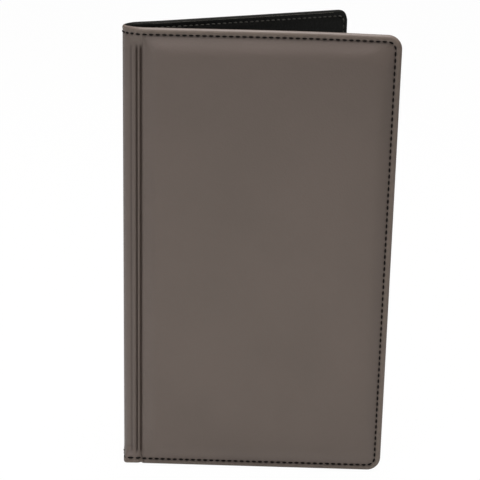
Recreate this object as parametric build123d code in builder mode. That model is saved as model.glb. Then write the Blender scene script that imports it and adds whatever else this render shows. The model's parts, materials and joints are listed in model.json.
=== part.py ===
"""Guest check presenter: a padded two-cover folder that stands ajar on its foot.

Each cover is a board with a crowned foam pad, wrapped in a leatherette skin and backed by a
lining. A soft spine joins the covers, and folds along a pressed line beside each of them.
Millimetres and degrees. +Z is up, the spine is at -X, and the XZ plane halves the folder:
the front cover is on its -Y side, and the back cover is the front cover's mirror image.
"""

import os
from math import cos, degrees, radians, sin, tan

from build123d import *

os.makedirs("parts", exist_ok=True)

# Overall sizes
cover_height = 228.0
cover_width = 125.2  # from the fold line to the fore-edge
ajar_angle = 33.0  # between the covers, as the folder stands
open_angle = 180.0  # between the covers, laid flat
closing_turn = 18.8  # of each fold, from standing ajar to shut
corner_radius = 7.0  # fore-edge corners
hinge_corner_radius = 1.5  # corners of a cover beside the fold

# Sheets
skin_thickness = 0.9
board_thickness = 2.0
lining_thickness = 0.8
margin_foam = 0.6  # foam squeezed flat under the rim
spine_foam = 0.6

# Rim, seam channel and crown of a cover. Skin and lining are both turned over the edge, and meet
# on it at edge_level.
rim_radius = 1.6
edge_level = 1.7
seam_inset = 3.2  # seam line to the head, foot and fore-edge
channel_width = 1.0
channel_depth = 0.5
spine_channel_depth = 0.35
crown_rise = 2.9  # middle of the cover above its rim
crown_run = 11.0  # from the seam channel to the flat top of the crown
crown_run_hinge = 7.0  # the same beside the spine, where the pad rolls off faster
crown_start_hinge = 0.8  # start of the crown behind the pad's wall beside the spine
crown_corner = 12.0  # growth of the corner radius from the channel to the flat top
crown_power = 2.2  # how full the crown's shoulder is
crown_steps = (0.0, 0.14, 0.32, 0.58, 1.0)

# Spine and folds
spine_inner_radius = 6.9
spine_flat = 0.5  # straight run from the spine's arc to the fold line
fold_gap = 0.4  # between the two sides of a fold, at its axis
fold_margin = 1.5  # degrees that each side of a fold is cut back past its travel
wall_clearance = 0.1  # pad's wall behind the fold's V
line_depth = 0.45  # pressed line beside the fold
line_from_fold = 2.05
faint_line_depth = 0.25  # second pressed line, round the spine
faint_line_from_fold = 5.3
line_foot = 6.0  # end of the pressed lines above the foot
line_head = 8.7  # end of the pressed lines below the head
spine_edge = 1.0  # rounding of the spine's turned head and foot

# Clearances and setbacks
fit = 0.05  # between a sheet and what it wraps
board_setback = 1.0  # board behind the pad's wall beside the spine
spine_foam_setback = 1.0  # spine foam behind the head and foot

# Pockets
pocket_thickness = 0.7
pocket_space = 0.4
pocket_seam = 3.5  # sewn border of a pocket panel
pocket_setback = 2.0  # pocket panel behind the cover's edge
pocket_fold_setback = 8.0  # bill pocket behind the fold line
pocket_corner = 1.5  # upper corners of a pocket
pocket_edge = 0.3  # bevel of a pocket's turned edge
bill_pocket_height = 112.0
card_pocket_height = 52.0
card_pocket_width = 96.0

# Levels outwards from the lining's inner face, and what else follows from the sizes above
half_ajar = ajar_angle / 2
board_level = lining_thickness + board_thickness
rim_level = board_level + margin_foam + skin_thickness
channel_level = rim_level - channel_depth
spine_thickness = lining_thickness + spine_foam + skin_thickness
spine_radius = spine_inner_radius + spine_thickness
fold_level = spine_thickness / 2
opening_turn = (open_angle - ajar_angle) / 2
outer_relief = tan(radians(opening_turn / 2 + fold_margin)) * (spine_thickness - fold_level)
inner_relief = tan(radians(closing_turn / 2 + fold_margin)) * fold_level
wall_line = fold_gap / 2 + outer_relief + wall_clearance
board_line = wall_line + board_setback
crown_start = seam_inset + channel_width / 2

# Directions of the front cover, and the places that they give. The origin is on the floor
# under the middle of the folder's bounding box.
along = Vector(cos(radians(half_ajar)), -sin(radians(half_ajar)), 0)
outward = Vector(-sin(radians(half_ajar)), -cos(radians(half_ajar)), 0)
reach = along * (spine_flat + cover_width) + outward * (spine_inner_radius + lining_thickness)
spine_axis = Vector((spine_radius - reach.X) / 2, 0, 0)
fold_foot = spine_axis + along * spine_flat + outward * spine_inner_radius

# front_cover has x along the cover from the fold line, y up, and z outwards from the lining's
# inner face. front_plan has the same x, and y outwards, for profiles seen along the fold.
front_cover = Plane(origin=fold_foot, x_dir=along, z_dir=outward)
front_plan = Plane(origin=fold_foot, x_dir=along, z_dir=(0, 0, -1))


def cover_outline(inset, hinge, corner, hinge_corner=hinge_corner_radius):
    """Outline of a cover's layer, drawn in by inset on three sides and starting at hinge."""
    with BuildSketch(mode=Mode.PRIVATE) as outline:
        with Locations(((hinge + cover_width - inset) / 2, cover_height / 2)):
            Rectangle(cover_width - inset - hinge, cover_height - 2 * inset)
        fillet(outline.vertices().group_by(Axis.X)[-1], corner)
        fillet(outline.vertices().group_by(Axis.X)[0], hinge_corner)
    return outline.sketch


def slab(outline, low, high):
    """A flat layer of the front cover between two levels."""
    with BuildPart(mode=Mode.PRIVATE) as layer:
        with BuildSketch(front_cover.offset(low)):
            add(outline)
        extrude(amount=high - low)
    return layer.part


def crown(shrink):
    """The crown of the front cover as a solid, drawn in by shrink on all sides.

    Its outside is one smooth surface, and the hidden ones inside are ruled.
    """
    with BuildPart(mode=Mode.PRIVATE) as form:
        for step in crown_steps:
            rise = (crown_rise + channel_depth) * (1 - (1 - step) ** crown_power)
            section = cover_outline(
                crown_start + shrink + crown_run * step,
                wall_line + crown_start_hinge + shrink + crown_run_hinge * step,
                corner_radius - seam_inset + crown_corner * step,
                hinge_corner_radius + crown_corner / 2 * step,
            )
            with BuildSketch(front_cover.offset(channel_level - shrink + rise)):
                add(section)
        loft(ruled=shrink > 0)
    return form.part


def spine_band(inner, outer, low, high):
    """A layer of the spine between two radii and two heights, from fold line to fold line."""
    with BuildPart(mode=Mode.PRIVATE) as band:
        with BuildSketch(Plane.XY.offset(low)):
            with BuildLine():
                arcs = [
                    CenterArc(spine_axis, radius, 90 + half_ajar, 180 - ajar_angle)
                    for radius in (inner, outer)
                ]
                front = [PolarLine(arc @ 1, spine_flat, -half_ajar) for arc in arcs]
                back = [PolarLine(arc @ 0, spine_flat, half_ajar) for arc in arcs]
                Line(front[0] @ 1, front[1] @ 1)
                Line(back[0] @ 1, back[1] @ 1)
            make_face()
        extrude(amount=high - low)
    return band.part


def sewn_panel(near, far, foot, top, corner, level):
    """A pocket's panel: sewn down on three sides at level, and open at its top."""
    with BuildPart(mode=Mode.PRIVATE) as panel:
        with BuildSketch(front_cover.offset(level)) as border:
            with Locations(((near + far) / 2, (foot + top) / 2)):
                Rectangle(far - near, top - foot)
            fillet(border.vertices().group_by(Axis.Y)[0], corner)
            fillet(border.vertices().group_by(Axis.Y)[-1], pocket_corner)
        extrude(amount=-pocket_space - pocket_thickness)
        with BuildSketch(front_cover.offset(level)):
            with Locations(((near + far) / 2, (foot + pocket_seam + top) / 2)):
                Rectangle(far - near - 2 * pocket_seam, top - foot - pocket_seam)
        extrude(amount=-pocket_space, mode=Mode.SUBTRACT)
        chamfer(panel.faces().sort_by(Axis(fold_foot, outward))[0].edges(), pocket_edge)
    return panel.part


# Room for a fold to turn: a V on the outside for laying flat, and one inside for shutting
with BuildPart() as fold_relief:
    with BuildSketch(front_plan):
        with BuildLine():
            Polyline(
                (fold_gap / 2, fold_level),
                (fold_gap / 2 + outer_relief, spine_thickness),
                (-fold_gap / 2 - outer_relief, spine_thickness),
                (-fold_gap / 2, fold_level),
                (-fold_gap / 2 - inner_relief, 0),
                (fold_gap / 2 + inner_relief, 0),
                close=True,
            )
        make_face()
    extrude(amount=cover_height, both=True)

# ------------------------------------------------------------------ front cover
wrapped_corner = corner_radius - skin_thickness
cavity = slab(
    cover_outline(skin_thickness, board_line - fit, wrapped_corner),
    lining_thickness,
    rim_level - skin_thickness,
)
board_outline = cover_outline(skin_thickness + fit, board_line, wrapped_corner - fit)
sunk_inset = seam_inset - channel_width / 2
sunk_field = cover_outline(sunk_inset, -cover_width / 2, corner_radius - sunk_inset)

# The skin's strip beside the fold, thin enough to bend
with BuildPart() as fold_strip:
    with BuildSketch(front_plan):
        with Locations((board_line / 2, (lining_thickness + spine_thickness) / 2)):
            Rectangle(board_line, spine_thickness - lining_thickness)
    extrude(amount=-cover_height)
    strip_face = fold_strip.faces().sort_by(Axis(fold_foot, outward))[-1]
    fillet(strip_face.edges().filter_by(Axis(fold_foot, along)), spine_edge)

with BuildPart() as front_skin:
    with BuildSketch(front_cover.offset(edge_level)):
        add(cover_outline(0, wall_line, corner_radius))
    extrude(amount=rim_level - edge_level)
    fillet(front_skin.faces().sort_by(Axis(fold_foot, outward))[-1].edges(), rim_radius)
    add(slab(sunk_field, channel_level, rim_level), mode=Mode.SUBTRACT)
    add(crown(0))
    add(fold_strip.part)
    add(cavity, mode=Mode.SUBTRACT)
    add(crown(skin_thickness), mode=Mode.SUBTRACT)
    add(fold_relief.part, mode=Mode.SUBTRACT)

with BuildPart() as front_board:
    with BuildSketch(front_cover.offset(lining_thickness)):
        add(board_outline)
    extrude(amount=board_thickness)

with BuildPart() as front_pad:
    add(crown(skin_thickness + fit))
    split(bisect_by=front_cover.offset(board_level), keep=Keep.TOP)
    with BuildSketch(front_cover.offset(board_level)):
        add(board_outline)
    extrude(amount=margin_foam - fit)

# The lining's lip is turned up the cover's edge as far as the skin. It starts beside the strip.
lining_lip = edge_level - fit
lip_start = board_line + fit
with BuildPart() as front_lining:
    with BuildSketch(front_cover):
        add(cover_outline(0, -corner_radius, corner_radius))
    extrude(amount=lining_lip)
    inner_face = front_lining.faces().sort_by(Axis(fold_foot, outward))[0]
    fillet(inner_face.edges(), rim_radius)
    split(bisect_by=Plane(origin=fold_foot, z_dir=along), keep=Keep.TOP)
    add(
        slab(
            cover_outline(skin_thickness, -corner_radius, wrapped_corner),
            lining_thickness,
            edge_level,
        ),
        mode=Mode.SUBTRACT,
    )
    with BuildSketch(front_plan):
        with Locations((lip_start / 2, (lining_thickness + edge_level) / 2)):
            Rectangle(lip_start, edge_level - lining_thickness)
    extrude(amount=-cover_height, mode=Mode.SUBTRACT)
    add(fold_relief.part, mode=Mode.SUBTRACT)

pocket_far = cover_width - pocket_setback
with BuildPart() as front_pocket:
    add(
        sewn_panel(
            pocket_fold_setback,
            pocket_far,
            pocket_setback,
            bill_pocket_height,
            corner_radius - pocket_setback,
            0,
        )
    )

# ------------------------------------------------------------------ spine
lining_radius = spine_inner_radius + lining_thickness
spine_edge_radius = spine_inner_radius + fold_level
line_turn = degrees((line_from_fold - spine_flat) / spine_radius)
faint_line_turn = degrees((faint_line_from_fold - spine_flat) / spine_radius)


def turned_ends(inner, outer):
    """The parts of a spine layer that are turned over the foam at the foot and the head."""
    with BuildPart(mode=Mode.PRIVATE) as ends:
        add(spine_band(inner, outer, 0, skin_thickness))
        add(spine_band(inner, outer, cover_height - skin_thickness, cover_height))
    return ends.part


def end_arcs(band, radius):
    """The arcs of a spine layer's foot and head that have this radius."""
    arcs = band.edges().filter_by(GeomType.CIRCLE)
    arcs = arcs.filter_by(lambda edge: abs(edge.radius - radius) < fit).sort_by(Axis.Z)
    return ShapeList([arcs[0], arcs[-1]])


with BuildPart() as spine_skin:
    add(spine_band(spine_radius - skin_thickness, spine_radius, 0, cover_height))
    add(turned_ends(spine_edge_radius, spine_radius))
    fillet(end_arcs(spine_skin, spine_radius), spine_edge)
    for seam in (seam_inset, cover_height - seam_inset):
        low, high = seam - channel_width / 2, seam + channel_width / 2
        channel = spine_band(spine_radius - spine_channel_depth, spine_radius + fit, low, high)
        add(channel, mode=Mode.SUBTRACT)
    for depth, turn in ((line_depth, line_turn), (faint_line_depth, faint_line_turn)):
        for angle in (90 + half_ajar + turn, 270 - half_ajar - turn):
            foot = spine_axis + Vector(spine_radius, 0, 0).rotate(Axis.Z, angle)
            with Locations(Plane.XY.offset(line_foot)):
                with Locations((foot.X, foot.Y)):
                    Cylinder(
                        depth,
                        cover_height - line_foot - line_head,
                        align=(Align.CENTER, Align.CENTER, Align.MIN),
                        mode=Mode.SUBTRACT,
                    )
    add(fold_relief.part, mode=Mode.SUBTRACT)
    add(mirror(fold_relief.part, about=Plane.XZ, mode=Mode.PRIVATE), mode=Mode.SUBTRACT)

with BuildPart() as spine_pad:
    add(
        spine_band(
            lining_radius + fit,
            spine_radius - skin_thickness - fit,
            spine_foam_setback,
            cover_height - spine_foam_setback,
        )
    )
    add(fold_relief.part, mode=Mode.SUBTRACT)
    add(mirror(fold_relief.part, about=Plane.XZ, mode=Mode.PRIVATE), mode=Mode.SUBTRACT)

with BuildPart() as spine_lining:
    add(spine_band(spine_inner_radius, lining_radius, 0, cover_height))
    add(turned_ends(spine_inner_radius, spine_edge_radius - fit))
    fillet(end_arcs(spine_lining, spine_inner_radius), spine_edge)
    add(fold_relief.part, mode=Mode.SUBTRACT)
    add(mirror(fold_relief.part, about=Plane.XZ, mode=Mode.PRIVATE), mode=Mode.SUBTRACT)

# ------------------------------------------------------------------ back cover
with BuildPart() as back_skin:
    mirror(front_skin.part, about=Plane.XZ)

with BuildPart() as back_pad:
    mirror(front_pad.part, about=Plane.XZ)

with BuildPart() as back_board:
    mirror(front_board.part, about=Plane.XZ)

with BuildPart() as back_lining:
    mirror(front_lining.part, about=Plane.XZ)

with BuildPart() as back_pocket:
    mirror(front_pocket.part, about=Plane.XZ)

card_near = (pocket_fold_setback + pocket_far - card_pocket_width) / 2
with BuildPart() as card_pocket:
    mirror(
        sewn_panel(
            card_near,
            card_near + card_pocket_width,
            pocket_setback,
            card_pocket_height,
            pocket_corner,
            -pocket_space - pocket_thickness,
        ),
        about=Plane.XZ,
    )

pieces = {
    "front_skin": front_skin,
    "front_pad": front_pad,
    "front_board": front_board,
    "front_lining": front_lining,
    "front_pocket": front_pocket,
    "spine_skin": spine_skin,
    "spine_pad": spine_pad,
    "spine_lining": spine_lining,
    "back_skin": back_skin,
    "back_pad": back_pad,
    "back_board": back_board,
    "back_lining": back_lining,
    "back_pocket": back_pocket,
    "card_pocket": card_pocket,
}
for name, piece in pieces.items():
    piece.part.label = name
    export_step(piece.part, f"parts/{name}.step")
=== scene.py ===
# %% [markdown]
# # A guest check presenter
#
# This is the folder in which a restaurant brings the bill: two padded covers in brown-grey
# leatherette, lined with black, joined by a soft spine and standing ajar on their foot. The CAD
# model gives the boards, the folds and every size. Here the soft goods are made: the wrapped
# covers, the lining, the pockets and the stitching, with the look of each material.

# %% Load the frame
import json
import math

import bpy
import numpy as np
from mathutils import Matrix, Vector


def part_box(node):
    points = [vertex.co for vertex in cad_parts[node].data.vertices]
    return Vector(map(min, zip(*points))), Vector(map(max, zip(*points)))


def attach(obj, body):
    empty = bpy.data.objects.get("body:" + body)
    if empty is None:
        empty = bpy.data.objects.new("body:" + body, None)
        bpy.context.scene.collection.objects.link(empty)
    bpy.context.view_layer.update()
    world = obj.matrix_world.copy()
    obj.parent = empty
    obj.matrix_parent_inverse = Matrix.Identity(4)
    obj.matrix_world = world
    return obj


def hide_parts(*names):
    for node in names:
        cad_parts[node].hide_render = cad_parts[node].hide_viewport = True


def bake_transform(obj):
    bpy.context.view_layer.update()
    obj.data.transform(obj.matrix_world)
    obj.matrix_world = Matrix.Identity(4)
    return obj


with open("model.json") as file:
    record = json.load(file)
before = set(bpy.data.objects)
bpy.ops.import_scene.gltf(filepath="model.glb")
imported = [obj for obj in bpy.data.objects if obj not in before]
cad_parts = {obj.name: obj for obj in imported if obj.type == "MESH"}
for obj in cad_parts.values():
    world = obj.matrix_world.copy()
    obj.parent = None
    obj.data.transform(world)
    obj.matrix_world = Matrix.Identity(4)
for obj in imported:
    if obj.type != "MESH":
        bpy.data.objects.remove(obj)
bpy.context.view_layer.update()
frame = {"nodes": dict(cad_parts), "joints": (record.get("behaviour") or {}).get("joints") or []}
bpy.ops.object.select_all(action="DESELECT")

# %% [markdown]
# ## The sizes of the folder
#
# A cover is easiest to describe on its own flat sheet: c runs across it from the fold line to the
# fore-edge, v runs up it, and w is the height above the lining's inner face. Left of the fold line
# c is negative and the sheet goes round the spine. So each piece can be shaped flat, in
# millimetres, and one function then stands it up where the CAD model has it.

# %% Sizes in millimetres
MM = 0.001
HALF_AJAR = math.radians(33 / 2)
ALONG = np.array([math.cos(HALF_AJAR), -math.sin(HALF_AJAR), 0])
OUTWARD = np.array([-math.sin(HALF_AJAR), -math.cos(HALF_AJAR), 0])

FOLD_LEVEL = 1.15  # the fold's axis above the lining's inner face
SPINE_LEVEL = 2.3  # outside of the spine
RIM_LEVEL = 4.3  # top of a cover's rim bead
BOARD_LEVEL = 2.8
LINING_LEVEL = 0.8
SPINE_RADIUS = 6.9  # inside of the spine
SPINE_FLAT = 0.5

fold = next(joint for joint in frame["joints"] if joint["name"] == "front_fold")
FOLD_AXIS = np.array(fold["pos_m"]) / MM
SPINE_AXIS = FOLD_AXIS - ALONG * SPINE_FLAT - OUTWARD * (SPINE_RADIUS + FOLD_LEVEL)

low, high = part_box("front_board")
HEIGHT = (low.z + high.z) / MM
WIDTH = 125.2
CORNER = 7.0
HALF_SPINE = (math.pi / 2 - HALF_AJAR) * (SPINE_RADIUS + SPINE_LEVEL) + SPINE_FLAT
print("cover", WIDTH, "x", round(HEIGHT, 2), "mm, half the spine", round(HALF_SPINE, 2), "mm")


# %% Stand a sheet up
DROOP = 0.8  # how much lower the front cover's head is at the fore-edge
DROOP_START, DROOP_RUN = 50, 75  # where that starts across the cover, and how far it goes on
HEAD_RISE = 0.16  # how much higher the head is at the spine
RISE_FADE = {1: (85, 35), -1: (2, 12)}  # where that starts to fade on a cover, and over how much
BACK_REACH = 3.3  # how much farther out the back cover's fore-edge is
BACK_CORNER = 0.12  # how much squarer its corners are


def smooth_step(x):
    x = np.clip(x, 0, 1)
    return x * x * (3 - 2 * x)


def head_share(v):
    """0 at the foot and 1 at the head, with most of the change near the head."""
    return np.clip(v / HEIGHT, 0, 1) ** 2


def reach_out(c, v):
    """Makes the back cover's sheet a little wider, with squarer corners."""
    from_middle = v - HEIGHT / 2
    ahead = np.clip(c - WIDTH + CORNER, 0, None)
    beyond = np.clip(np.abs(from_middle) - HEIGHT / 2 + CORNER, 0, None)
    diagonal = 2 * ahead * beyond / np.maximum(ahead**2 + beyond**2, 1e-6)
    c = c + BACK_CORNER * diagonal**2 * ahead + BACK_REACH * np.clip(c / WIDTH, 0, 1)
    return c, v + BACK_CORNER * diagonal**2 * beyond * np.sign(from_middle)


def stand(c, v, w, side, outside=True):
    """Places on a cover's sheet, in mm, as points in metres. side is 1 in front and -1 behind."""
    fade, run = RISE_FADE[side]
    v = v + HEAD_RISE * (1 - smooth_step((c - fade) / run)) * head_share(v)
    if side > 0:
        v = v - DROOP * np.clip((c - DROOP_START) / DROOP_RUN, 0, 1) ** 2 * head_share(v)
    else:
        c, v = reach_out(c, v)
    arc = SPINE_RADIUS + (SPINE_LEVEL if outside else 0)
    angle = HALF_AJAR + np.clip(-c - SPINE_FLAT, 0, None) / arc
    reach = np.maximum(c, -SPINE_FLAT) + SPINE_FLAT
    radius = SPINE_RADIUS + w
    x = SPINE_AXIS[0] - np.sin(angle) * radius + ALONG[0] * reach
    y = SPINE_AXIS[1] - np.cos(angle) * radius + ALONG[1] * reach
    return np.stack([x, side * y, v + 0 * w], axis=-1) * MM


# %% [markdown]
# ## The camera, the floor and the light
#
# The camera stands in front of the folder, a little to its left and above it, with a long lens, so
# that upright edges stay nearly upright. It comes first, so that each piece can be looked at as
# soon as it is made. The floor is plain and pale. Seen by the camera it is mostly plain white
# light, which keeps the background white without any more light on the folder.

# %% The camera
EYE = Vector((-0.18515, -0.66131, 0.32255))
LOOK = Vector((0.25458, 0.92314, -0.2881)).normalized()
ROLL = math.radians(1.205)
LENS = 103.97


def add_camera():
    bpy.ops.object.camera_add()
    camera = bpy.context.object
    right = LOOK.cross(Vector((0, 0, 1))).normalized()
    up = right.cross(LOOK)
    tilted = right * math.cos(ROLL) + up * math.sin(ROLL)
    upward = tilted.cross(LOOK)
    turn = Matrix((tilted, upward, -LOOK)).transposed()
    camera.matrix_world = Matrix.Translation(EYE) @ turn.to_4x4()
    camera.data.lens = LENS
    camera.data.clip_start = 0.01
    bpy.context.scene.camera = camera


add_camera()


# %% Colours and nodes
def linear(code):
    """An sRGB hex code as linear colour, for a node's socket."""
    parts = [int(code[i : i + 2], 16) / 255 for i in (1, 3, 5)]
    lifted = [p / 12.92 if p <= 0.04045 else ((p + 0.055) / 1.055) ** 2.4 for p in parts]
    return (*lifted, 1.0)


def add_node(tree, kind, links=None, **settings):
    """Adds a node. links gives a socket its value, or the socket that feeds it."""
    node = tree.nodes.new(kind)
    for name, value in settings.items():
        setattr(node, name, value)
    for name, value in (links or {}).items():
        socket = node.inputs[name]
        if isinstance(value, bpy.types.NodeSocket):
            tree.links.new(value, socket)
        else:
            socket.default_value = value
    return node


def new_material(name):
    material = bpy.data.materials.new(name)
    material.use_nodes = True
    material.node_tree.nodes.clear()
    return material


# %% The floor
FLOOR_SIZE = 60.0
FLOOR_GLOW = 0.98  # share of plain white in what the camera sees of the floor


def floor_material():
    material = new_material("pale_paper_floor")
    tree = material.node_tree
    paper = add_node(tree, "ShaderNodeBsdfDiffuse", {"Color": linear("#f2f0ec")})
    glow = add_node(tree, "ShaderNodeEmission", {"Color": (1, 1, 1, 1), "Strength": 1.0})
    ray = add_node(tree, "ShaderNodeLightPath")
    seen = ray.outputs["Is Camera Ray"]
    for kind in ("Is Glossy Ray", "Is Transmission Ray"):
        either = {0: seen, 1: ray.outputs[kind]}
        seen = add_node(tree, "ShaderNodeMath", either, operation="MAXIMUM").outputs[0]
    share = add_node(tree, "ShaderNodeMath", {0: seen, 1: FLOOR_GLOW}, operation="MULTIPLY")
    mixed = add_node(
        tree,
        "ShaderNodeMixShader",
        {0: share.outputs[0], 1: paper.outputs[0], 2: glow.outputs[0]},
    )
    add_node(tree, "ShaderNodeOutputMaterial", {"Surface": mixed.outputs[0]})
    return material


bpy.ops.mesh.primitive_plane_add(size=FLOOR_SIZE)
floor = bpy.context.object
floor.name = "floor"
floor.data.materials.append(floor_material())


# %% The light
SOFTBOXES = (  # name, place and side in metres, power in watts, colour
    ("softbox_overhead", (0.0, 0.0, 1.7), 0.8, 37.5, "#fffbfd"),  # most of the light
    ("softbox_key", (-1.1, -0.85, 1.1), 0.6, 6.0, "#f4f6ff"),
    ("softbox_front", (-1.2, -1.0, 0.2), 0.6, 0.6, "#dde8ff"),
    ("softbox_low", (-0.08, -0.25, 0.03), 0.2, 0.085, "#fff3e0"),  # light off the table
)
ROOM_LIGHT = 0.048  # strength of the light from all round, which is a little warm


def add_softbox(name, place, size, power, colour):
    """A square softbox that faces the middle of the folder."""
    bpy.ops.object.light_add(type="AREA", location=place)
    lamp = bpy.context.object
    lamp.name = name
    lamp.data.size = size
    lamp.data.energy = power
    lamp.data.color = linear(colour)[:3]
    middle = Vector((0, 0, HEIGHT / 2 * MM))
    lamp.rotation_euler = (middle - Vector(place)).to_track_quat("-Z", "Y").to_euler()


for softbox in SOFTBOXES:
    add_softbox(*softbox)

world = bpy.data.worlds.new("studio")
bpy.context.scene.world = world
world.use_nodes = True
background = world.node_tree.nodes["Background"]
background.inputs["Color"].default_value = linear("#fff1e2")
background.inputs["Strength"].default_value = ROOM_LIGHT
bpy.context.scene.view_settings.view_transform = "Standard"


# %% [markdown]
# ## Leatherette
#
# The covers are PU leatherette: a cloth backing with a coat of soft plastic, pressed with a fine
# grain by a hot roller. To the eye that is a quiet satin surface, almost even in colour, a little
# paler where a rim has been rubbed. It is painted darker where a seam or a hot tool has pressed it
# down. In the pressed lines that is partly their heat-pressed tone and partly painted shade. In the
# seam's groove and in a crease it is painted shade. Along the seam there is painted shade at each
# stitch and painted light between the stitches. The lining is the same sheet in black, and duller.
# The real grain is about 0.4 mm, which is too fine to show here, so it is drawn at 0.9 mm on the
# covers and 1.3 mm on the lining. The pattern reads the sheet's own UV map, on which 1 is 250 mm,
# so that it goes round the edges with the sheet and stays on it when the folder moves.

# %% Leatherette material
SHEET_UV = 250.0  # mm of sheet in the UV map's unit
TONE_DRIFT = 45  # mm across which the tone drifts
GRAIN_WANDER = 0.0015  # share by which the grain's cells are pulled out of shape
PUCKER_DEPTH = 0.12  # mm that the leatherette is pulled down at each stitch's end
PUCKER_SHADE = 0.5  # painted shade where the leatherette is pulled down, and painted light where it rises between


def coat_colour(tree, place, fine, colours):
    """The coat drifts between two tones, and is paler where the worn attribute says so."""
    colour, deep, worn = colours
    soft = add_node(
        tree, "ShaderNodeTexNoise", {"Vector": place, "Scale": SHEET_UV / TONE_DRIFT, "Detail": 3.0}
    )
    tone = add_node(
        tree,
        "ShaderNodeMapRange",
        {
            "Value": soft.outputs["Fac"],
            "From Min": 0.35,
            "From Max": 0.7,
            "To Min": 0.0,
            "To Max": 0.45,
        },
    )
    coat = add_node(
        tree,
        "ShaderNodeMix",
        {"Factor": tone.outputs[0], "A": linear(colour), "B": linear(deep)},
        data_type="RGBA",
    )
    rubbed = add_node(tree, "ShaderNodeAttribute", attribute_name="worn")
    patchy = add_node(
        tree,
        "ShaderNodeMath",
        {0: rubbed.outputs["Fac"], 1: fine.outputs["Fac"]},
        operation="MULTIPLY",
    )
    shade = add_node(
        tree,
        "ShaderNodeMix",
        {"Factor": patchy.outputs[0], "A": coat.outputs["Result"], "B": linear(worn)},
        data_type="RGBA",
    )
    return shade.outputs["Result"]


def seam_relief_and_painted_shade(tree):
    """The wave of puckers along the seam as relief, and the painted darkness: painted shade at each
    stitch and painted light between the stitches, added to the pressed attribute's darkness.
    """
    # the pressed attribute holds painted shade in the seam's groove and a crease, and the pressed
    # lines' tone with painted shade
    line = add_node(tree, "ShaderNodeAttribute", attribute_name="pressed")
    seam = add_node(tree, "ShaderNodeAttribute", attribute_name="near_seam")
    stitch = add_node(tree, "ShaderNodeAttribute", attribute_name="stitch")
    turn = add_node(
        tree, "ShaderNodeMath", {0: stitch.outputs["Fac"], 1: 2 * math.pi}, operation="MULTIPLY"
    )
    wave = add_node(tree, "ShaderNodeMath", {0: turn.outputs[0]}, operation="COSINE")
    pucker = add_node(
        tree,
        "ShaderNodeMath",
        {0: wave.outputs[0], 1: seam.outputs["Fac"]},
        operation="MULTIPLY",
    )
    painted_shade_and_pressed_tone = add_node(
        tree,
        "ShaderNodeMath",
        {0: pucker.outputs[0], 1: -PUCKER_SHADE, 2: line.outputs["Fac"]},
        operation="MULTIPLY_ADD",
        use_clamp=True,
    )
    return pucker.outputs[0], painted_shade_and_pressed_tone.outputs[0]


def grain_relief(tree, place, fine, pucker, grain, depth):
    """The normal of the pressed grain, on top of the seam's puckers."""
    wander = add_node(
        tree,
        "ShaderNodeMix",
        {"Factor": GRAIN_WANDER, "A": place, "B": fine.outputs["Color"]},
        data_type="VECTOR",
    )
    cells = add_node(
        tree,
        "ShaderNodeTexVoronoi",
        {"Vector": wander.outputs["Result"], "Scale": SHEET_UV / grain, "Smoothness": 0.6},
        feature="SMOOTH_F1",
    )
    drawn = add_node(
        tree,
        "ShaderNodeBump",
        {"Height": pucker, "Strength": 0.7, "Distance": PUCKER_DEPTH * MM},
    )
    relief = add_node(
        tree,
        "ShaderNodeBump",
        {
            "Height": cells.outputs["Distance"],
            "Strength": 0.6,
            "Distance": depth * MM,
            "Normal": drawn.outputs["Normal"],
        },
        invert=True,
    )
    return relief.outputs["Normal"]


def leatherette(name, colours, roughness, ior, grain, depth):
    """Grained leatherette. grain is the size of a grain cell in mm and depth its relief in mm."""
    *coat_colours, shade_and_pressed_colour = colours
    material = new_material(name)
    tree = material.node_tree
    place = add_node(tree, "ShaderNodeUVMap", uv_map="sheet").outputs["UV"]
    fine = add_node(
        tree,
        "ShaderNodeTexNoise",
        {"Vector": place, "Scale": SHEET_UV / (2 * grain), "Detail": 4.0},
    )
    shade = coat_colour(tree, place, fine, coat_colours)
    pucker, painted_shade_and_pressed_tone = seam_relief_and_painted_shade(tree)
    # painted shade: the coat is mixed towards a dark colour at the stitches, the pressed lines, the
    # seam's groove and the crease
    sunk = add_node(
        tree,
        "ShaderNodeMix",
        {"Factor": painted_shade_and_pressed_tone, "A": shade, "B": linear(shade_and_pressed_colour)},
        data_type="RGBA",
    )
    gloss = add_node(
        tree,
        "ShaderNodeMapRange",
        {"Value": fine.outputs["Fac"], "To Min": roughness - 0.06, "To Max": roughness + 0.08},
    )
    surface = add_node(
        tree,
        "ShaderNodeBsdfPrincipled",
        {
            "Base Color": sunk.outputs["Result"],
            "Roughness": gloss.outputs[0],
            "Normal": grain_relief(tree, place, fine, pucker, grain, depth),
            "IOR": ior,
        },
    )
    add_node(tree, "ShaderNodeOutputMaterial", {"Surface": surface.outputs[0]})
    return material


# The last colour of each is the painted shade at the stitches, the seam's groove and the crease,
# and in the pressed lines also their heat-pressed tone
cover_leatherette = leatherette(
    "pu_leatherette_taupe", ("#665c55", "#5e554e", "#877a69", "#352b25"), 0.5, 1.42, 0.9, 0.12
)
lining_leatherette = leatherette(
    "pu_leatherette_black", ("#0e0f0c", "#0a0b09", "#24251e", "#070807"), 0.6, 1.25, 1.3, 0.3
)

# %% [markdown]
# ## A sheet to shape
#
# Covers and linings are rectangles of sheet with detail along their edges. A grid primitive with
# its lines close together at the edges is the easy start. Each vertex then keeps its address on
# the sheet, a formula gives its height, and the sheet is stood up. Extruding the grid once gives
# it a second layer, so that every piece is closed and has a real thickness.


# %% Grid lines across and up a sheet
def spread(start, end, step):
    """Evenly spaced places from start up to, and not including, end."""
    count = max(1, round((end - start) / step))
    return np.linspace(start, end, count, endpoint=False)


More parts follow.
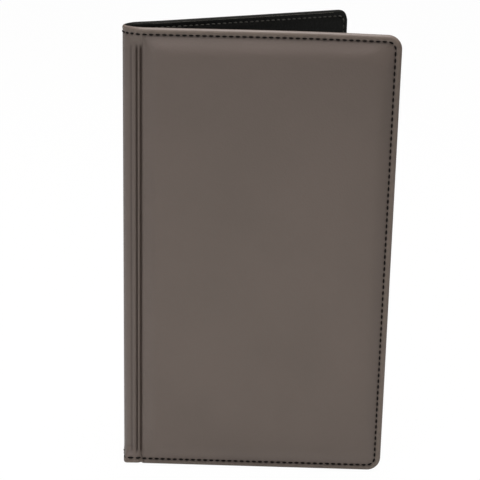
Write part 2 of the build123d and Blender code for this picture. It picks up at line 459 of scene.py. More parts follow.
BEAD = RIM_LEVEL / 2  # radius of the rim's rounded edge
EDGE_LINES = np.concatenate(
    [
        [-0.35, -0.15],
        np.linspace(0, BEAD, 9),
        [2.4, 2.65, 2.85, 3.05, 3.2, 3.35, 3.55, 3.75, 4.0, 4.4, 4.9, 5.5, 6.2],
    ]
)  # from the turned-in edge inwards
FIELD_STEP = 1.6  # between lines on the plain middle
LINE_STEP = 0.3  # across the spine with its pressed lines
PAD_WALL_STEP = 0.6
SHOULDER_STEP = 0.7
TUCK = (0.7, 0.35)  # the sheet's end under the other half, past the spine's centre line


def lines_across():
    return np.concatenate(
        [
            [-HALF_SPINE - past for past in TUCK],
            spread(-HALF_SPINE, 4, LINE_STEP),
            spread(4, 10, PAD_WALL_STEP),
            spread(10, WIDTH - CORNER, FIELD_STEP),
            [WIDTH - CORNER],
            WIDTH - EDGE_LINES[::-1],
        ]
    )


def lines_up():
    foot, head = 14, HEIGHT - 16
    return np.concatenate(
        [
            EDGE_LINES,
            spread(CORNER, foot, SHOULDER_STEP),
            spread(foot, head, FIELD_STEP),
            spread(head, HEIGHT - CORNER, SHOULDER_STEP),
            [HEIGHT - CORNER],
            HEIGHT - EDGE_LINES[::-1],
        ]
    )


# %% A two-layer grid with addresses
def vertex_places(piece):
    places = np.zeros(len(piece.data.vertices) * 3)
    piece.data.vertices.foreach_get("co", places)
    return places.reshape(-1, 3)


def turn_outwards(piece):
    """Turns all the faces of a closed piece outwards."""
    bpy.context.view_layer.objects.active = piece
    bpy.ops.object.mode_set(mode="EDIT")
    bpy.ops.mesh.select_all(action="SELECT")
    bpy.ops.mesh.normals_make_consistent(inside=False)
    bpy.ops.object.mode_set(mode="OBJECT")


def two_layer_grid(name, across, up):
    """A closed slab of grid faces. Returns it with each vertex's c, v and whether it is outside."""
    bpy.ops.mesh.primitive_grid_add(
        x_subdivisions=len(across) - 1, y_subdivisions=len(up) - 1, size=1
    )
    sheet = bpy.context.object
    sheet.name = name
    bpy.ops.object.mode_set(mode="EDIT")
    bpy.ops.mesh.select_all(action="SELECT")
    bpy.ops.mesh.extrude_region_move(TRANSFORM_OT_translate={"value": (0, 0, -1)})
    bpy.ops.object.mode_set(mode="OBJECT")
    places = vertex_places(sheet)
    column = np.rint((places[:, 0] + 0.5) * (len(across) - 1)).astype(int)
    row = np.rint((places[:, 1] + 0.5) * (len(up) - 1)).astype(int)
    return sheet, across[column], up[row], places[:, 2] > -0.5


UV_MARGIN = np.array([20, 5])  # mm, keeps the whole sheet inside the UV map
SHARP_ANGLE = math.radians(50)


def shape_sheet(sheet, points, c, v, material):
    """Moves the vertices to their places, turns the faces outwards and lays the UV map."""
    sheet.data.vertices.foreach_set("co", points.ravel())
    turn_outwards(sheet)
    corners = np.zeros(len(sheet.data.loops), dtype=int)
    sheet.data.loops.foreach_get("vertex_index", corners)
    layer = sheet.data.uv_layers.active or sheet.data.uv_layers.new()
    layer.name = "sheet"
    flat = (np.stack([c, v], axis=-1) + UV_MARGIN)[corners] / SHEET_UV
    layer.data.foreach_set("uv", flat.ravel())
    bpy.ops.object.shade_smooth_by_angle(angle=SHARP_ANGLE)
    sheet.data.materials.append(material)
    bpy.ops.object.select_all(action="DESELECT")
    return sheet


def paint(sheet, name, values):
    """Stores a number for each vertex, for the material to read."""
    layer = sheet.data.attributes.new(name, "FLOAT", "POINT")
    layer.data.foreach_set("value", values.astype(np.float32))


# %% [markdown]
# ## Edge, seam and corner
#
# The rim is a bead: the leatherette is turned over the board's edge from outside and the lining
# from inside, and they meet along the middle. 3.2 mm in, the seam pulls both into a channel. The
# same section runs round the foot, the fore-edge and the head, so it is written once, as a
# function of e, the distance from the edge along the sheet. In a corner, rings of equal e are
# quarter circles.

# %% The section of the rim
SEAM_INSET = 3.2
WRAP = {1: math.radians(104), -1: math.radians(84)}  # how far the leatherette turns over the edge
BOTH_WRAPS = math.radians(168)  # and the lining comes to meet it
END_DROP = 1.04  # how deep the sheet's end is tucked in past its turn, in bead radii
END_SLOPE = 0.1
CHANNEL_DEPTH = 0.5


def soft_min(a, b, width):
    """The smaller of two heights, with a rounded change from one to the other."""
    h = np.clip(0.5 + 0.5 * (b - a) / width, 0, 1)
    return b * (1 - h) + a * h - width * h * (1 - h)


def ridge(x, place, half):
    """A smooth ridge of height 1 at a place, which falls to about a third at half from it."""
    return np.exp(-(((x - place) / half) ** 2))


def bead_section(e, level, wrap):
    """Distance in from the outline, and drop below the level, of the rounded edge."""
    bead = level / 2
    turn = np.clip(1 - e / bead, 0, 1) * wrap
    inwards = np.where(e < bead, bead * (1 - np.sin(turn)), e)
    drop = bead * (1 - np.cos(turn))
    tucked = e < 0
    inwards = np.where(tucked, -e, inwards)
    drop = np.where(tucked, bead * (END_DROP - math.cos(wrap) - END_SLOPE * e), drop)
    return inwards, drop


def place_in_outline(c, v, level, wrap, hidden_edge=None):
    """Plan position, e and bead drop of each vertex, with the fore-edge corners rounded."""
    a = c - (WIDTH - CORNER)
    top = v > HEIGHT / 2
    b = np.where(top, v - (HEIGHT - CORNER), CORNER - v)
    ring = np.maximum(a, b)
    e = CORNER - ring
    inwards, drop = bead_section(e, level, wrap)
    if hidden_edge is not None:
        inwards = hidden_edge(e)
    radius = CORNER - inwards
    corner = (a > 0) & (b > 0)
    least, most = np.minimum(a, b), np.maximum(np.maximum(a, b), 1e-9)
    angle = math.pi / 4 * np.clip(least / most, 0, 1)
    angle = np.where(a >= b, angle, math.pi / 2 - angle)
    dx = np.where(corner, radius * np.cos(angle), np.where(a >= b, radius, a))
    dy = np.where(corner, radius * np.sin(angle), np.where(b > a, radius, b))
    in_band = ring > 0
    u = np.where(in_band & (a > 0), WIDTH - CORNER + dx, c)
    rise = np.where(in_band & (b > 0), dy, b)
    z = np.where(top, HEIGHT - CORNER + rise, CORNER - rise)
    return u, z, e, drop


# %% [markdown]
# ## The padded covers
#
# A foam sheet under the leatherette makes the pad. From the seam it rises to a flat middle, over
# 11 mm at the head and the foot and 7.5 mm at the fore-edge, with wide round shoulders in the
# corners. Beside the spine it rolls off faster and ends in a fold, next to which lines are pressed
# into the spine with a hot tool. These stop short of the head and the foot, where the turned hems
# are stiff and keep the spine squarer. On a real folder all of this comes from the cut of the foam
# and the press of the tool, so here it is a height formula, with a size for each thing one sees.

# %% Height of the cover's outside
PAD_FOOT = 0.5  # from the fold line to where the pad's wall starts
WALL_RISE = 6.0
WALL_RUN = 2.6
CROWN_RISE = 2.9
CROWN_RUN = 11.0
CROWN_RUN_FORE = 7.5
CROWN_RUN_HINGE = 7.0
CROWN_START = 3.35  # from the edge to where the pad starts to rise
CROWN_START_HINGE = 2.0
CROWN_CORNER = 12.0  # what the shoulder adds to the radius of its corner
CORNER_AT_SEAM = 3.8
CORNER_AT_HINGE = 1.5
CROWN_STRAIGHT = 0.4  # share of the shoulder that is straight before it rounds into the middle
HALVINGS = 20

FLARE_TOP = 8.5  # below this height the spine's foot is no longer round
FLARE_FADE = 6.5  # over which it goes back to round
FLARE_SIDE = 11.0  # distances from the spine's axis to the flat sides of its foot
FLARE_BACK = 9.3
FLARE_TURN = math.radians(84.3)  # from one flat side to the other
FLARE_CORNER = 1.5  # rounding between the two
MOST_TURN = 1.4  # radians, past which the first flat side is out of reach
FLARE_BEHIND = 0.15  # share of it on the back half
HEAD_LIFT = 1.8  # what the hem adds to the spine beside the fold at the head
HEAD_LIFT_RUN = 6.0
HEAD_LIFT_FADE = 6.0
LINING_LAG = 1.2  # how far the leatherette leaves the spine before the lining comes after it


def hem_flare(c, v, side):
    """How far the stiff hems at the head and the foot stand out past the round of the spine."""
    round_back = SPINE_RADIUS + SPINE_LEVEL
    turn = np.clip(-c - SPINE_FLAT, 0, None) / round_back
    square = soft_min(
        FLARE_SIDE / np.cos(np.minimum(turn, MOST_TURN)),
        FLARE_BACK / np.cos(FLARE_TURN - turn),
        FLARE_CORNER,
    )
    crease = 1 - 0.5 * ridge(c, 0.2, 1)
    share = smooth_step((c + HALF_SPINE) / 2) if side > 0 else FLARE_BEHIND
    foot = share * np.clip(square - round_back, 0, None)
    foot = foot * smooth_step((FLARE_TOP - v) / FLARE_FADE)
    head = HEAD_LIFT * smooth_step((c + HEAD_LIFT_RUN) / (HEAD_LIFT_RUN + 1))
    return foot * crease + head * smooth_step((v - HEIGHT + FLARE_TOP) / HEAD_LIFT_FADE)


def ceiling_at(c, v, side):
    """The height that the spine and the pad's wall beside it allow."""
    climb = np.clip(c - PAD_FOOT, 0, None)
    return SPINE_LEVEL + hem_flare(c, v, side) + WALL_RISE * (1 - np.exp(-climb / WALL_RUN))


def level_at(c, v, side):
    """The rim's height: full on a cover, and thinner round the spine."""
    roof = RIM_LEVEL + np.where(c < 0, hem_flare(c, v, side), 0)
    return soft_min(roof, ceiling_at(c, v, side), 0.6)


def lining_shift(c, v, side):
    """How far the lining follows the leatherette outwards at the spine's foot."""
    return np.clip(hem_flare(c, v, side) - LINING_LAG, 0, None)


def inside_corner(x, y, radius):
    """How far a point is inside a rounded corner, from its distances to the two sides."""
    dx, dy = radius - x, radius - y
    past = np.minimum(np.maximum(dx, dy), 0)
    return radius - np.hypot(np.maximum(dx, 0), np.maximum(dy, 0)) - past


def shoulder(share):
    """Rise of the pad's shoulder: a straight slope that rounds over into the flat middle."""
    bend = np.clip(share - CROWN_STRAIGHT, 0, None)
    return (share - bend**2 / (2 * (1 - CROWN_STRAIGHT))) * 2 / (1 + CROWN_STRAIGHT)


def crown_share(u, v):
    """How far up the pad's shoulder a point is: 0 at the seam and 1 on the flat middle.

    The shoulder's contour lines are rounded rectangles, one inside the other. The one through a
    point is found by halving.
    """
    low, high = np.zeros_like(u), np.ones_like(u)
    for _ in range(HALVINGS):
        s = (low + high) / 2
        end = np.minimum(v, HEIGHT - v) - CROWN_START - CROWN_RUN * s
        fore = WIDTH - u - CROWN_START - CROWN_RUN_FORE * s
        hinge = u - CROWN_START_HINGE - CROWN_RUN_HINGE * s
        inside = np.minimum(
            inside_corner(fore, end, CORNER_AT_SEAM + CROWN_CORNER * s),
            inside_corner(hinge, end, CORNER_AT_HINGE + CROWN_CORNER / 2 * s),
        )
        low, high = np.where(inside >= 0, s, low), np.where(inside >= 0, high, s)
    return low


# %% Pressed lines beside the fold
LINES = (  # place, half width and depth of each pressed line; a negative depth is a ridge
    (0.15, 0.5, 0.6),
    (-0.95, 0.45, -0.15),
    (-2.05, 0.5, 0.7),
    (-3.4, 0.9, -0.15),
    (-5.0, 0.7, 0.3),
)
LINE_FOOT = 6.0  # where they end, from the foot and from the head
LINE_HEAD = 8.7


def pressed(c, v):
    """Depth of the pressed lines, which fade out before the head and the foot."""
    fade = smooth_step((v - LINE_FOOT + 1) / 2.5)
    fade = fade * smooth_step((HEIGHT - LINE_HEAD + 1.5 - v) / 3.5)
    return fade * sum(deep * ridge(c, place, half) for place, half, deep in LINES)


# %% Height of the skin, with the places that a simulation below settles
SETTLE_LOW = np.array([2.6, SEAM_INSET + 0.2])  # corners of the pad's skin that is free to move
SETTLE_HIGH = np.array([WIDTH - SEAM_INSET - 0.2, HEIGHT - SEAM_INSET - 0.2])
SETTLE_COUNT = np.array([33, 61])  # vertices across and up: cells of about 3.7 mm
SETTLE_CAP = 0.4  # mm, the farthest that a point may move
settled_by = np.zeros(SETTLE_COUNT)


def spline_weights(x):
    """Weights, in sixths, of a point's four neighbours in a row, for a smooth curve."""
    return [(1 - x) ** 3, 3 * x**3 - 6 * x**2 + 4, -3 * x**3 + 3 * x**2 + 3 * x + 1, x**3]


def settled(u, v):
    """How far the simulation below moved the skin outwards at a place on the sheet."""
    place = (np.stack([u, v], axis=-1) - SETTLE_LOW) / (SETTLE_HIGH - SETTLE_LOW)
    place = np.clip(place, 0, 0.9999) * (SETTLE_COUNT - 1)
    cell = place.astype(int)
    moved = 0
    for i, across in enumerate(spline_weights(place[..., 0] - cell[..., 0])):
        for j, up in enumerate(spline_weights(place[..., 1] - cell[..., 1])):
            column = np.clip(cell[..., 0] + i - 1, 0, SETTLE_COUNT[0] - 1)
            row = np.clip(cell[..., 1] + j - 1, 0, SETTLE_COUNT[1] - 1)
            moved = moved + across * up * settled_by[column, row] / 36
    return moved


CHANNEL_SIDE = 0.6  # from the seam out to where its channel starts to go down
CHANNEL_RUN = 0.5
GROOVE_HALF = 0.45  # half width of the groove that the seam makes where there is no pad
GROOVE_DEPTH = 0.6  # its depth, as a share of the channel's
WALL_ROUNDING = 0.4  # between the pad and its wall beside the spine


def outside_height(u, v, c, e, side):
    """Height of the leatherette outside, without the rim's bead."""
    level = level_at(c, v, side)
    climb = ceiling_at(c, HEIGHT / 2, side) - SPINE_LEVEL
    padded = np.clip(climb / (RIM_LEVEL - SPINE_LEVEL), 0, 1)
    channel = smooth_step((e - SEAM_INSET + CHANNEL_SIDE) / CHANNEL_RUN)
    groove = ridge(e, SEAM_INSET, GROOVE_HALF) * GROOVE_DEPTH
    sunk = CHANNEL_DEPTH * (padded * channel + (1 - padded) * groove)
    rise = (CROWN_RISE + CHANNEL_DEPTH) * shoulder(crown_share(u, v)) + settled(u, v)
    height = soft_min(level - sunk + rise, ceiling_at(c, v, side), WALL_ROUNDING)
    return np.where(e > BEAD, height - pressed(c, v), level)


# %% [markdown]
# ## The skin settles on its foam
#
# The leatherette is stretched over the foam and sewn down round its edge, so its middle finds its
# own shape. A short cloth simulation finds it here: the skin of one pad, on a coarse grid, is
# pinned along the seams, held softly by the foam and pressed outwards. Only how far each point
# moved is kept, and every cover adds that to its height. The same skin serves both covers.

# %% Cloth simulation of one pad's skin
SETTLE_FRAMES = 20
FOAM_HOLD = 0.16  # how firmly the foam holds the skin, where a seam's hold is 1
WELL_INSIDE = 20.0  # an e that is past all the detail along the edge


def settle_skin():
    """Runs the simulation and returns how far each grid point moved outwards, in mm."""
    bpy.ops.mesh.primitive_grid_add(
        x_subdivisions=int(SETTLE_COUNT[0]) - 1, y_subdivisions=int(SETTLE_COUNT[1]) - 1, size=1
    )
    skin = bpy.context.object
    share = vertex_places(skin)[:, :2] + 0.5
    u, v = (SETTLE_LOW + share * (SETTLE_HIGH - SETTLE_LOW)).T
    start = outside_height(u, v, u, np.full_like(u, WELL_INSIDE), 1)
    skin.data.vertices.foreach_set("co", (np.stack([u, v, start], axis=-1) * MM).ravel())
    pins = skin.vertex_groups.new(name="seams")
    pins.add(list(range(len(share))), FOAM_HOLD, "REPLACE")
    at_edge = np.flatnonzero(np.abs(share - 0.5).max(axis=1) > 0.499)
    pins.add([int(index) for index in at_edge], 1.0, "REPLACE")
    cloth = skin.modifiers.new("settle", "CLOTH")
    cloth.settings.quality = 6
    cloth.settings.mass = 0.2
    cloth.settings.tension_stiffness = 20
    cloth.settings.compression_stiffness = 10
    cloth.settings.bending_stiffness = 5
    cloth.settings.vertex_group_mass = "seams"
    cloth.settings.use_pressure = True
    cloth.settings.uniform_pressure_force = 4
    cloth.settings.effector_weights.gravity = 0
    for step in range(1, SETTLE_FRAMES + 1):
        bpy.context.scene.frame_set(step)
    bpy.ops.object.modifier_apply(modifier="settle")
    moved = vertex_places(skin)[:, 2] / MM - start
    bpy.context.scene.frame_set(1)
    bpy.data.objects.remove(skin)
    cell = np.rint(share * (SETTLE_COUNT - 1)).astype(int)
    grid = np.zeros(SETTLE_COUNT)
    grid[cell[:, 0], cell[:, 1]] = moved
    print("skin moved", round(grid.min(), 3), "to", round(grid.max(), 3), "mm")
    return np.clip(grid, -SETTLE_CAP, SETTLE_CAP)


settled_by = settle_skin()


# %% [markdown]
# ## The seam's course
#
# One seam runs from the spine's head along the top, down the fore-edge and back along the foot. Its
# course is needed twice: the leatherette puckers at every stitch, and the thread is laid along it.

# %% The seam's course
STITCH_PITCH = 3.182  # mm, 8 stitches to the inch
PUCKER_HALF = 0.75
SEAM_ROUND = CORNER - SEAM_INSET
HEAD_RUN = HALF_SPINE + WIDTH - CORNER
CORNER_RUN = math.pi / 2 * SEAM_ROUND
SIDE_RUN = HEIGHT - 2 * CORNER
SEAM_RUN = 2 * HEAD_RUN + 2 * CORNER_RUN + SIDE_RUN


def along_seam(run, inset):
    """c and v of points run mm along the seam from the spine's head, and inset mm from the edge."""
    past = run - HEAD_RUN
    head_turn = np.clip(past / SEAM_ROUND, 0, math.pi / 2)
    fall = np.clip(past - CORNER_RUN, 0, SIDE_RUN)
    foot_turn = np.clip((past - CORNER_RUN - SIDE_RUN) / SEAM_ROUND, 0, math.pi / 2)
    back = np.clip(past - 2 * CORNER_RUN - SIDE_RUN, 0, None)
    turn = head_turn + foot_turn
    c = WIDTH - CORNER + np.minimum(past, 0) - back + np.sin(turn) * (CORNER - inset)
    v = HEIGHT - CORNER - fall + np.cos(turn) * (CORNER - inset)
    return c, v


def seam_run(u, z):
    """How far along the seam the place nearest to a point is."""
    ahead = u - (WIDTH - CORNER)
    beyond = np.maximum(z, HEIGHT - z) - (HEIGHT - CORNER)
    turn = np.arctan2(np.maximum(ahead, 0), np.maximum(beyond, 1e-9))
    fall = np.where(ahead > 0, np.maximum(-beyond, 0), 0)
    run = HEAD_RUN + np.minimum(ahead, 0) + SEAM_ROUND * turn + fall
    return np.where(z > HEIGHT / 2, run, SEAM_RUN - run)


def paint_seam(sheet, u, z, e):
    """Lets the material draw the puckers that each stitch pulls, as relief and as painted shade and
    light.
    """
    paint(sheet, "stitch", seam_run(u, z) / STITCH_PITCH)
    paint(sheet, "near_seam", ridge(e, SEAM_INSET, PUCKER_HALF))


# %% [markdown]
# ## The covers and the linings
#
# Each half of the folder is a sheet of leatherette outside and a lining inside, sewn together
# round the edge. A solidify modifier could give a sheet its thickness, but outside it is padded
# and inside it lies flat, so each side of the grid gets its own heights. The ends of the two
# halves overlap at the spine's centre line.

# %% Make the two covers
HIDDEN_EDGE = 2.4  # mm; nearer to the edge than this, the hidden layer keeps inside the rim
HIDDEN_SLOPE = 0.68
BOARD_START = 2.2  # mm from the fold
HIDDEN_GAP = 0.03  # between a hidden layer and what it lies on
EDGE_GAP = 0.05  # and at the edge, where the ends of cover and lining meet
TUCK_SLOPE = 0.15  # how steeply a sheet's end dips under the other half's
WORN_SHARE = 0.4  # how much of the worn look the rim gets


def hidden_edge(e):
    """Distance in from the outline of a layer that can't be seen."""
    return np.where(e < HIDDEN_EDGE, HIDDEN_EDGE + (e - HIDDEN_EDGE) * HIDDEN_SLOPE, e)


def tuck(points, c, towards):
    """Sinks or lifts the end of the sheet that is past the spine's centre line."""
    past = np.clip(-c - HALF_SPINE, 0, None)
    points[:, 0] += towards * past * TUCK_SLOPE * MM
    return points


def groove_shade_and_pressed_tone(c, z, e):
    """Painted darkness: the pressed lines' heat-pressed tone with painted shade, and painted shade
    in the seam's groove and in a crease at the fold's foot.
    """
    groove = 0.5 * ridge(e, SEAM_INSET, 0.5)
    crease = ridge(c - 0.35 * (5 - z), 0.4, 0.5) * smooth_step((6.5 - z) / 2)
    return np.clip(np.maximum.reduce([pressed(c, z) / 0.6, groove, 0.8 * crease]), 0, 1)


def make_cover(name, side):
    sheet, c, v, outside = two_layer_grid(name, lines_across(), lines_up())
    base = lining_shift(c, v, side)
    thickness = level_at(c, v, side) - base
    u, z, e, drop = place_in_outline(c, v, thickness, WRAP[side])
    w = outside_height(u, z, c, e, side) - drop
    u_in, z_in, _, _ = place_in_outline(c, v, thickness, WRAP[side], hidden_edge)
    inner = np.where(c > BOARD_START, BOARD_LEVEL, LINING_LEVEL) + HIDDEN_GAP
    w_in = base + np.where(hidden_edge(e) < 0.94, thickness / 2 + EDGE_GAP, inner)
    points = np.where(
        outside[:, None],
        stand(np.where(c < 0, c, u), z, w, side),
        stand(np.where(c < 0, c, u_in), z_in, w_in, side),
    )
    shape_sheet(sheet, tuck(points, c, 1), c, v, cover_leatherette)
    paint(sheet, "worn", WORN_SHARE * ridge(e, 1.5, 1.0) * outside)
    # painted shade in the seam's groove and a crease, and the pressed lines' tone with painted
    # shade
    paint(sheet, "pressed", groove_shade_and_pressed_tone(c, z, e) * outside)
    paint_seam(sheet, u, z, e)
    return sheet


front_cover = make_cover("front_cover_leatherette", 1)
back_cover = make_cover("back_cover_leatherette", -1)
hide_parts("front_skin", "front_pad", "spine_skin", "spine_pad")
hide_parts("back_skin", "back_pad", "spine_skin", "spine_pad")
print("cover faces:", len(front_cover.data.polygons))


# %% Make the two linings
LINING_GROOVE = 0.25


def inside_spine(c):
    """The address on the spine's shorter inner face that is behind this one on the outer face."""
    arc = SPINE_RADIUS / (SPINE_RADIUS + SPINE_LEVEL)
    return np.where(c < -SPINE_FLAT, (c + SPINE_FLAT) * arc - SPINE_FLAT, c)


def make_lining(name, side):
    sheet, c, v, inside = two_layer_grid(name, lines_across(), lines_up())
    base = lining_shift(c, v, side)
    thickness = level_at(c, v, side) - base
    wrap = BOTH_WRAPS - WRAP[side]
    u, z, e, drop = place_in_outline(c, v, thickness, wrap)
    w = base + drop + LINING_GROOVE * ridge(e, SEAM_INSET, 0.5)
    u_in, z_in, _, _ = place_in_outline(c, v, thickness, wrap, hidden_edge)
    inner = LINING_LEVEL - HIDDEN_GAP
    w_in = base + np.where(hidden_edge(e) < 0.9, thickness / 2 - EDGE_GAP, inner)
    points = np.where(
        inside[:, None],
        stand(np.where(c < 0, inside_spine(c), u), z, w, side, outside=False),
        stand(np.where(c < 0, inside_spine(c), u_in), z_in, w_in, side, outside=False),
    )
    shape_sheet(sheet, tuck(points, c, -1), c, v, lining_leatherette)
    paint(sheet, "worn", WORN_SHARE * ridge(e, 0.9, 0.7) * inside)
    paint_seam(sheet, u, z, e)
    return sheet


front_lining = make_lining("front_lining_sheet", 1)
back_lining = make_lining("back_lining_sheet", -1)
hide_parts("front_lining", "spine_lining")
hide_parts("back_lining", "spine_lining")


# %% [markdown]
# ## The pockets
#
# On each lining a pocket of the same black leatherette is sewn down on three sides, with its mouth
# turned over as an 8 mm hem. It holds the bill, and the small one on the back cover holds a card.
# A pocket is one flat piece of sheet, so it is again a two-layer grid with a height formula: low
# where it is sewn down, and lifted from the lining in the middle.

# %% Make the pockets
POCKET_SHEET = 0.68
POCKET_SEAM = 3.5  # width that is sewn flat
POCKET_SPACE = 0.4
POCKET_HEM = 8.0
POCKET_SETBACK = 2.0
POCKET_STITCHES = 1.75  # in from a pocket's side
HEM_STITCHES = 6.0  # down from its mouth
BILL_POCKET = (8.0, WIDTH - POCKET_SETBACK, 112.0)  # fold side, fore-edge side and mouth
CARD_POCKET = (17.6, 113.6, 52.0)
CARD_BASE = 1.12  # the card pocket lies on the face of the bill pocket
EDGE_OFFSETS = np.array([0, 0.08, 0.2, 0.4, 1.0, 1.3, 1.75, 2.2, 2.5, 3.3, 4.2, 5.0, 5.8, 6.6])
HEM_OFFSETS = np.array([0, 0.08, 0.2, 0.4, 3.5, 5.6, 6.0, 6.4, 7.6, 8.0, 8.4, 9.2])


def pocket_lines(start, end, end_offsets):
    middle = spread(start + EDGE_OFFSETS[-1], end - end_offsets[-1], 2.5)[1:]
    return np.concatenate([start + EDGE_OFFSETS, middle, end - end_offsets[::-1]])


def pocket_face(c, v, e, pocket):
    """How far a pocket's face and its back stand off the surface that it is sewn to."""
    left, right, mouth = pocket
    sewn = np.minimum(np.minimum(c - left, right - c), np.minimum(v, e) - POCKET_SETBACK)
    lift = POCKET_SPACE * smooth_step((sewn - POCKET_SEAM) / 3.2)
    from_edge = np.minimum(sewn, mouth - v)
    rounded = 0.3 * np.exp(-np.clip(from_edge, 0, None) / 0.12)
    stitched = 0.14 * ridge(sewn, POCKET_STITCHES, 0.45)
    stitched += 0.14 * ridge(mouth - v, HEM_STITCHES, 0.45)
    hem = 0.12 * smooth_step((v - mouth + POCKET_HEM + 0.3) / 0.6)
    return lift + POCKET_SHEET - rounded - stitched + hem, lift + rounded * 0.6


def flat_edge(e):
    """A pocket's sheet ends flat, without a turn over the edge."""
    return e


def make_pocket(name, side, pocket, base):
    left, right, mouth = pocket
    across = pocket_lines(left, right, EDGE_OFFSETS)
    up = pocket_lines(POCKET_SETBACK, mouth, HEM_OFFSETS)
    sheet, c, v, facing = two_layer_grid(name, across, up)
    u, z, e, _ = place_in_outline(c, v, RIM_LEVEL, WRAP[side], flat_edge)
    face, back = pocket_face(c, v, e, pocket)
    points = stand(u, z, -base(c, v) - np.where(facing, face, back + 0.01), side)
    shape_sheet(sheet, points, c, v, lining_leatherette)
    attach(sheet, "front_cover" if side > 0 else "back_cover")
    return sheet


def on_lining(c, v):
    """The bill pockets lie on the lining itself."""
    return 0 * c


def on_bill_pocket(c, v):
    """The card pocket's border lies on the bill pocket, which is lower where it is sewn down."""
    return CARD_BASE - POCKET_SPACE * (1 - smooth_step((v - POCKET_SETBACK - POCKET_SEAM) / 3.2))


front_pocket = make_pocket("front_bill_pocket", 1, BILL_POCKET, on_lining)
back_pocket = make_pocket("back_bill_pocket", -1, BILL_POCKET, on_lining)
card_pocket = make_pocket("card_pocket_sheet", -1, CARD_POCKET, on_bill_pocket)
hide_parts("front_pocket")
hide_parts("back_pocket")
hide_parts("card_pocket")


# %% [markdown]
# ## The stitching
#
# One row of lockstitch in thick dark thread goes all the way round, 8 stitches to the inch. From
# each side it shows as a row of dashes with their ends pulled down into the leatherette. One
# stitch is modelled, an array repeats it along a straight row, and the row is then laid along the
# seam, round the corners and round the spine.

# %% Thread
THREAD = 0.95  # mm, thickness
STITCH_LENGTH = 2.5


def thread_material(name, dark, light):
    material = new_material(name)
    tree = material.node_tree
    place = add_node(tree, "ShaderNodeTexCoord").outputs["Object"]
    fibre = add_node(tree, "ShaderNodeTexNoise", {"Vector": place, "Scale": 2500.0, "Detail": 2.0})
    tone = add_node(
        tree,
        "ShaderNodeMix",
        {"Factor": fibre.outputs["Fac"], "A": linear(dark), "B": linear(light)},
        data_type="RGBA",
    )
    twist = add_node(
        tree,
        "ShaderNodeBump",
        {"Height": fibre.outputs["Fac"], "Strength": 0.5, "Distance": 0.05 * MM},
    )
    surface = add_node(
        tree,
        "ShaderNodeBsdfPrincipled",
        {
            "Base Color": tone.outputs["Result"],
            "Roughness": 0.75,
            "IOR": 1.25,
            "Normal": twist.outputs["Normal"],
        },
    )
    add_node(tree, "ShaderNodeOutputMaterial", {"Surface": surface.outputs[0]})
    return material


brown_thread = thread_material("bonded_polyester_thread_dark_brown", "#080605", "#120e0b")
# The black thread is painted dark grey, a painted sheen, so that its rows show as lighter dashes on
# the black lining
black_thread_painted_sheen = thread_material("bonded_polyester_thread_black_painted_sheen", "#2b2b27", "#4c4c46")


def straight_row(name, count, pitch):
    """A row of stitches along x, in mm. Returns it with the places of its vertices."""
    bpy.ops.mesh.primitive_uv_sphere_add(segments=8, ring_count=5, radius=0.5)
    row = bpy.context.object
    row.name = name
    bpy.ops.object.mode_set(mode="EDIT")
    bpy.ops.mesh.select_all(action="SELECT")
    bpy.ops.transform.rotate(value=math.pi / 2, orient_axis="Y", center_override=(0, 0, 0))
    bpy.ops.transform.resize(value=(STITCH_LENGTH, THREAD, THREAD), center_override=(0, 0, 0))
    bpy.ops.object.mode_set(mode="OBJECT")
    for vertex in row.data.vertices:
        vertex.co.z -= 0.28 * (2 * vertex.co.x / STITCH_LENGTH) ** 2
    repeat = row.modifiers.new("repeat", "ARRAY")
    repeat.use_relative_offset = False
    repeat.use_constant_offset = True
    repeat.constant_offset_displace = (pitch, 0, 0)
    repeat.count = count
    bpy.ops.object.modifier_apply(modifier="repeat")
    return row, vertex_places(row).T


def finish_row(row, points, thread):
    """Lays a row's vertices in their places and gives it its thread."""
    row.data.vertices.foreach_set("co", points.ravel())
    turn_outwards(row)
    bpy.ops.object.shade_smooth()
    row.data.materials.append(thread)
    bpy.ops.object.select_all(action="DESELECT")
    return row


# %% The rows round the edge
def under_seam(c, v, side):
    """Depth of the inner face under the seam, in front of which a pocket may be sewn."""
    from_fold = smooth_step((c - BILL_POCKET[0] + 0.6) / 0.8)
    from_mouth = smooth_step((BILL_POCKET[2] + 0.4 - v) / 0.8)
    raised = (POCKET_SHEET - 0.06 + LINING_GROOVE) * from_fold * from_mouth
    return lining_shift(c, v, side) + LINING_GROOVE - raised


def edge_row(name, side, outside):
    count = round(SEAM_RUN / STITCH_PITCH)
    pitch = SEAM_RUN / count
    row, (run, aside, lift) = straight_row(name, count, pitch)
    run = run + pitch / 2
    c, v = along_seam(run, SEAM_INSET + aside)
    c_mid, v_mid = along_seam(run, SEAM_INSET)
    if outside:
        w = outside_height(c_mid, v_mid, c_mid, SEAM_INSET, side) + 0.1 + lift
        points = stand(c, v, w, side)
    else:
        w = under_seam(c_mid, v_mid, side) - 0.1 - lift
        points = stand(np.where(c < 0, inside_spine(c), c), v, w, side, outside=False)
    return finish_row(row, points, brown_thread if outside else black_thread_painted_sheen)


front_seam = edge_row("front_seam_thread", 1, True)
back_seam = edge_row("back_seam_thread", -1, True)
front_bobbin = edge_row("front_bobbin_thread", 1, False)
back_bobbin = edge_row("back_bobbin_thread", -1, False)


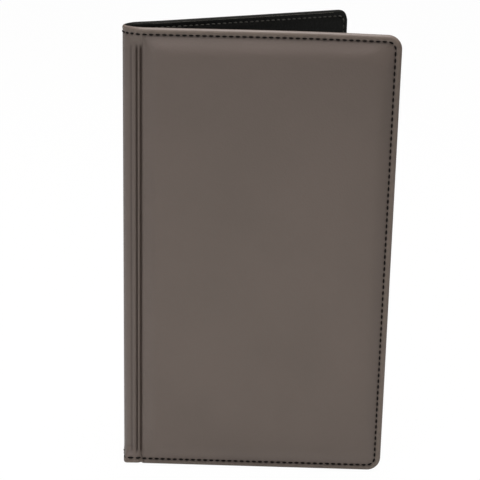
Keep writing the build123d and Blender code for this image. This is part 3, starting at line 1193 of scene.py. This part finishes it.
# %% The rows on the pockets
def pocket_row(name, side, pocket, base, start, end):
    """A straight row from start to end, each a c and a v, on a pocket's face."""
    start, end = np.array(start), np.array(end)
    length = np.linalg.norm(end - start)
    count = int(length / STITCH_PITCH)
    row, (run, aside, lift) = straight_row(name, count, STITCH_PITCH)
    ahead = (end - start) / length
    run = run + (length - (count - 1) * STITCH_PITCH) / 2
    c = start[0] + ahead[0] * run - ahead[1] * aside
    v = start[1] + ahead[1] * run + ahead[0] * aside
    c_mid, v_mid = start[0] + ahead[0] * run, start[1] + ahead[1] * run
    face, _ = pocket_face(c_mid, v_mid, np.full_like(c_mid, 20.0), pocket)
    points = stand(c, v, -base(c_mid, v_mid) - face - 0.08 - lift, side)
    finish_row(row, points, black_thread_painted_sheen)
    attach(row, "front_cover" if side > 0 else "back_cover")


def sew_pocket(name, side, pocket, base, right_side):
    """A row up each side that the folder's own seam doesn't hold, and one along the hem."""
    left, right, mouth = pocket
    foot, head, hem = POCKET_SETBACK + 2.8, mouth - 0.6, mouth - HEM_STITCHES
    rows = {
        "_side": ((left + POCKET_STITCHES, foot), (left + POCKET_STITCHES, head)),
        "_hem": ((left + 3.4, hem), (right - 3.4, hem)),
    }
    if right_side:
        rows["_far_side"] = ((right - POCKET_STITCHES, foot), (right - POCKET_STITCHES, head))
    for ending, (start, end) in rows.items():
        pocket_row(name + ending, side, pocket, base, start, end)


sew_pocket("front_pocket_thread", 1, BILL_POCKET, on_lining, False)
sew_pocket("back_pocket_thread", -1, BILL_POCKET, on_lining, False)
sew_pocket("card_pocket_thread", -1, CARD_POCKET, on_bill_pocket, True)

# %% [markdown]
# ## The boards
#
# The stiffener in each cover is greyboard, pressed from waste paper, about 2 mm thick. It stays as
# the CAD model has it. To the eye it is a dull grey with fibres and small flecks, seen only if a
# cover is cut open.


# %% Greyboard
def greyboard():
    material = new_material("greyboard")
    tree = material.node_tree
    place = add_node(tree, "ShaderNodeTexCoord").outputs["Object"]
    fleck = add_node(tree, "ShaderNodeTexNoise", {"Vector": place, "Scale": 900.0, "Detail": 3.0})
    fibre = add_node(
        tree,
        "ShaderNodeMapRange",
        {"Value": fleck.outputs["Fac"], "From Min": 0.35, "From Max": 0.65},
    )
    tone = add_node(
        tree,
        "ShaderNodeMix",
        {"Factor": fibre.outputs[0], "A": linear("#7a776f"), "B": linear("#9a968c")},
        data_type="RGBA",
    )
    surface = add_node(
        tree, "ShaderNodeBsdfPrincipled", {"Base Color": tone.outputs["Result"], "Roughness": 0.9}
    )
    add_node(tree, "ShaderNodeOutputMaterial", {"Surface": surface.outputs[0]})
    return material


board_material = greyboard()
for node in ("front_board", "back_board"):
    for slot in frame["nodes"][node].material_slots:
        slot.material = board_material


# %% [markdown]
# ## Riding on the folder's bodies
# The real folder has no hinge: the sheets just bend, in a narrow strip at each fold. Here a cover,
# its lining and their threads only have their transforms baked into their meshes; they are not
# bent over the folds, nor attached to the spine or the covers.

# %% Bake the sheets' transforms
FOLD_REACH = 1.5  # mm of sheet each side of the fold line; the span that it gives is not used


def bend_over_fold(piece, side):
    """Bakes a sheet's transform into its mesh. The fold's span is worked out for its side but not
    used.
    """
    start = FOLD_AXIS - ALONG * FOLD_REACH
    end = FOLD_AXIS + ALONG * FOLD_REACH
    start[1], end[1] = side * start[1], side * end[1]
    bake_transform(piece)


for piece in (front_cover, front_lining, front_seam, front_bobbin):
    bend_over_fold(piece, 1)
for piece in (back_cover, back_lining, back_seam, back_bobbin):
    bend_over_fold(piece, -1)
